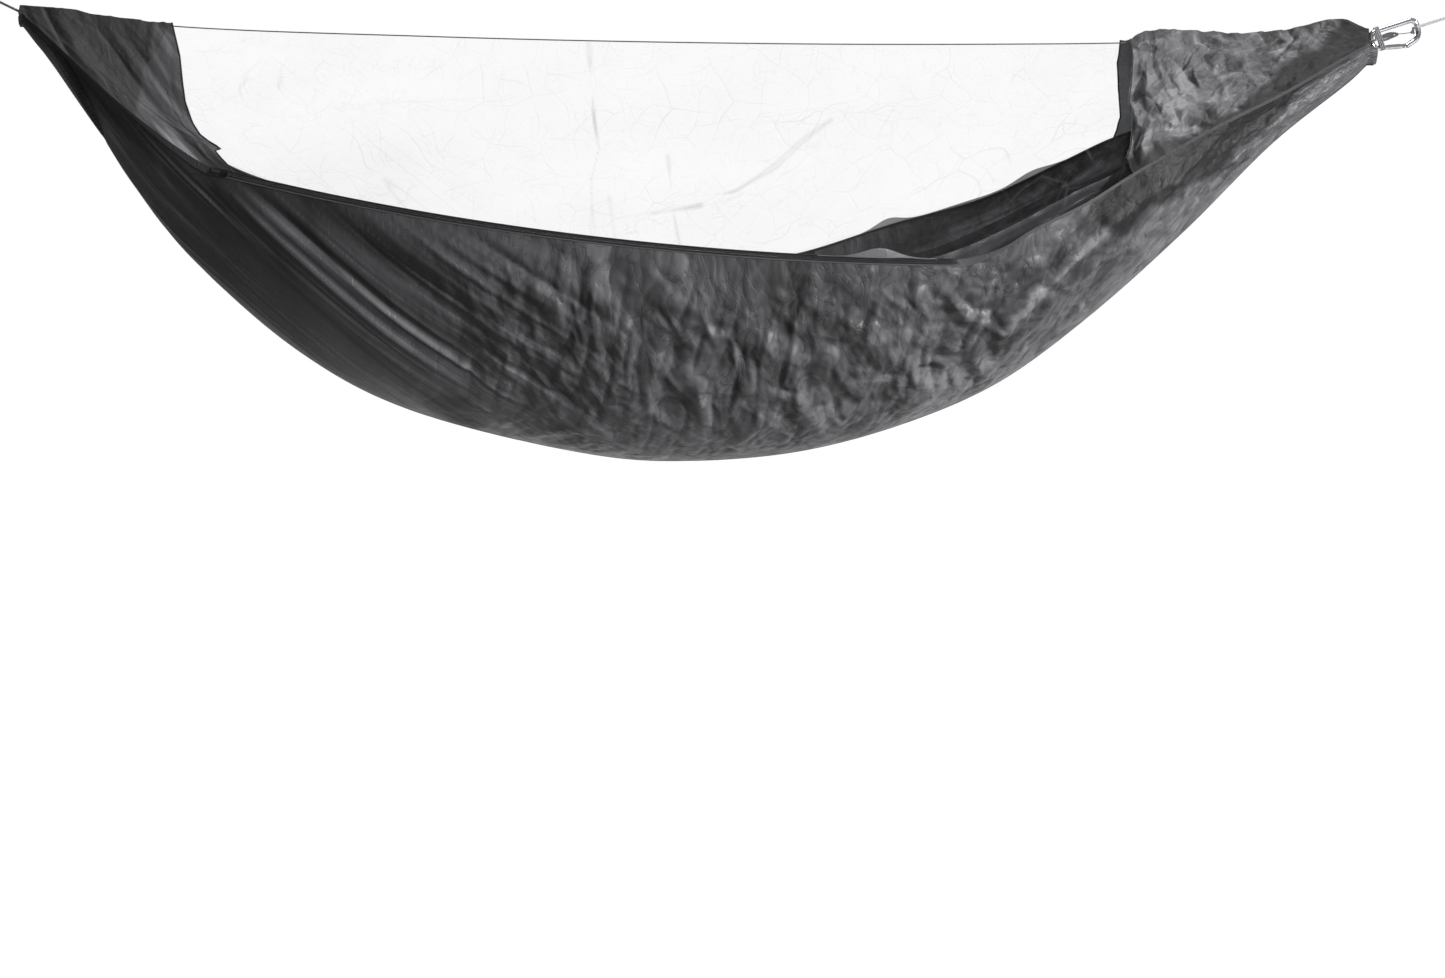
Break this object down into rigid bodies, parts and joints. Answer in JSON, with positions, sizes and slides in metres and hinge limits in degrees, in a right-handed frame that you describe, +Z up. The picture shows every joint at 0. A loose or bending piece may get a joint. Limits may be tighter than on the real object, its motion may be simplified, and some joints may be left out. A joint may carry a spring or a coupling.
{
  "type": "camping hammock",
  "caption": "Gathered-end camping hammock in thin black nylon with an outer sleeve, a zipped insect net on a ridgeline, and steel carabiners at both ends.",
  "frame": {"origin": "the strap seat inside the head-end carabiner, at the middle of its flat inner facet, where a tree strap carries the hammock", "axes": "+X from the head end to the foot end, +Z up, -Y the zipped front side"},
  "size_m": [2.6783, 0.6232, 0.8559],
  "materials": {
    "ripstop_nylon": "satin",
    "bed_nylon": "satin",
    "insect_net": "matte",
    "black_cord": "matte",
    "grey_cord": "matte",
    "zip_coil": "satin",
    "zip_tape": "matte",
    "zip_metal": "satin",
    "polished_steel": "polished"
  },
  "bodies": {
    "suspension": {"head_carabiner_frame": "polished_steel", "head_carabiner_hinge_pin": "polished_steel", "head_carabiner_latch_pin": "polished_steel", "foot_carabiner_frame": "polished_steel", "foot_carabiner_hinge_pin": "polished_steel", "foot_carabiner_latch_pin": "polished_steel", "foot_suspension_cord": "grey_cord", "foot_suspension_knot": "grey_cord"},
    "hammock": {"sleeve_lower": "ripstop_nylon", "head_hood_front": "ripstop_nylon", "head_hood_rear": "ripstop_nylon", "foot_hood_front": "ripstop_nylon", "foot_hood_rear": "ripstop_nylon", "rear_hem": "ripstop_nylon", "bed_sheet": "bed_nylon", "bed_head_gather": "bed_nylon", "bed_foot_gather": "bed_nylon", "net_front": "insect_net", "net_rear": "insect_net", "head_whipping": "black_cord", "foot_whipping": "black_cord", "head_loop": "black_cord", "foot_loop": "black_cord", "ridgeline": "black_cord", "zipper_tape_upper": "zip_tape", "zipper_tape_lower": "zip_tape", "zipper_coil_upper": "zip_coil", "zipper_coil_lower": "zip_coil", "zipper_head_stop": "zip_metal", "zipper_foot_stop": "zip_metal"},
    "head_gate": {"head_carabiner_gate": "polished_steel", "head_carabiner_gate_spring": "polished_steel"},
    "foot_gate": {"foot_carabiner_gate": "polished_steel", "foot_carabiner_gate_spring": "polished_steel"},
    "zip_slider": {"zipper_slider": "zip_metal"},
    "zip_pull": {"zipper_pull": "zip_coil"}
  },
  "joints": [
    {"name": "hammock_swing", "type": "hinge", "parent": "suspension", "child": "hammock", "pos_m": [0.0703, 0, -0.0338], "axis": [0.9995, 0, -0.0326], "range_deg": [-30, 30]},
    {"name": "head_gate_hinge", "type": "hinge", "parent": "suspension", "child": "head_gate", "pos_m": [0.04549, 0, -0.0411], "axis": [0, 1, 0], "range_deg": [0, 25], "stiffness_Nm_per_rad": 0.12, "springref_deg": -11.46},
    {"name": "foot_gate_hinge", "type": "hinge", "parent": "suspension", "child": "foot_gate", "pos_m": [2.49028, 0, -0.12284], "axis": [0, -1, 0], "range_deg": [0, 25], "stiffness_Nm_per_rad": 0.12, "springref_deg": -11.46},
    {"name": "zip_travel", "type": "hinge", "parent": "hammock", "child": "zip_slider", "pos_m": [1.3709, 1.74397, 0.39473], "axis": [0.0796, -0.3891, 0.9178], "range_deg": [0, 31.7]},
    {"name": "zip_pull_flip", "type": "hinge", "parent": "zip_slider", "child": "zip_pull", "pos_m": [0.5024, -0.17552, -0.34066], "axis": [0.3196, 0.2861, 0.9033], "range_deg": [0, 180]}
  ]
}
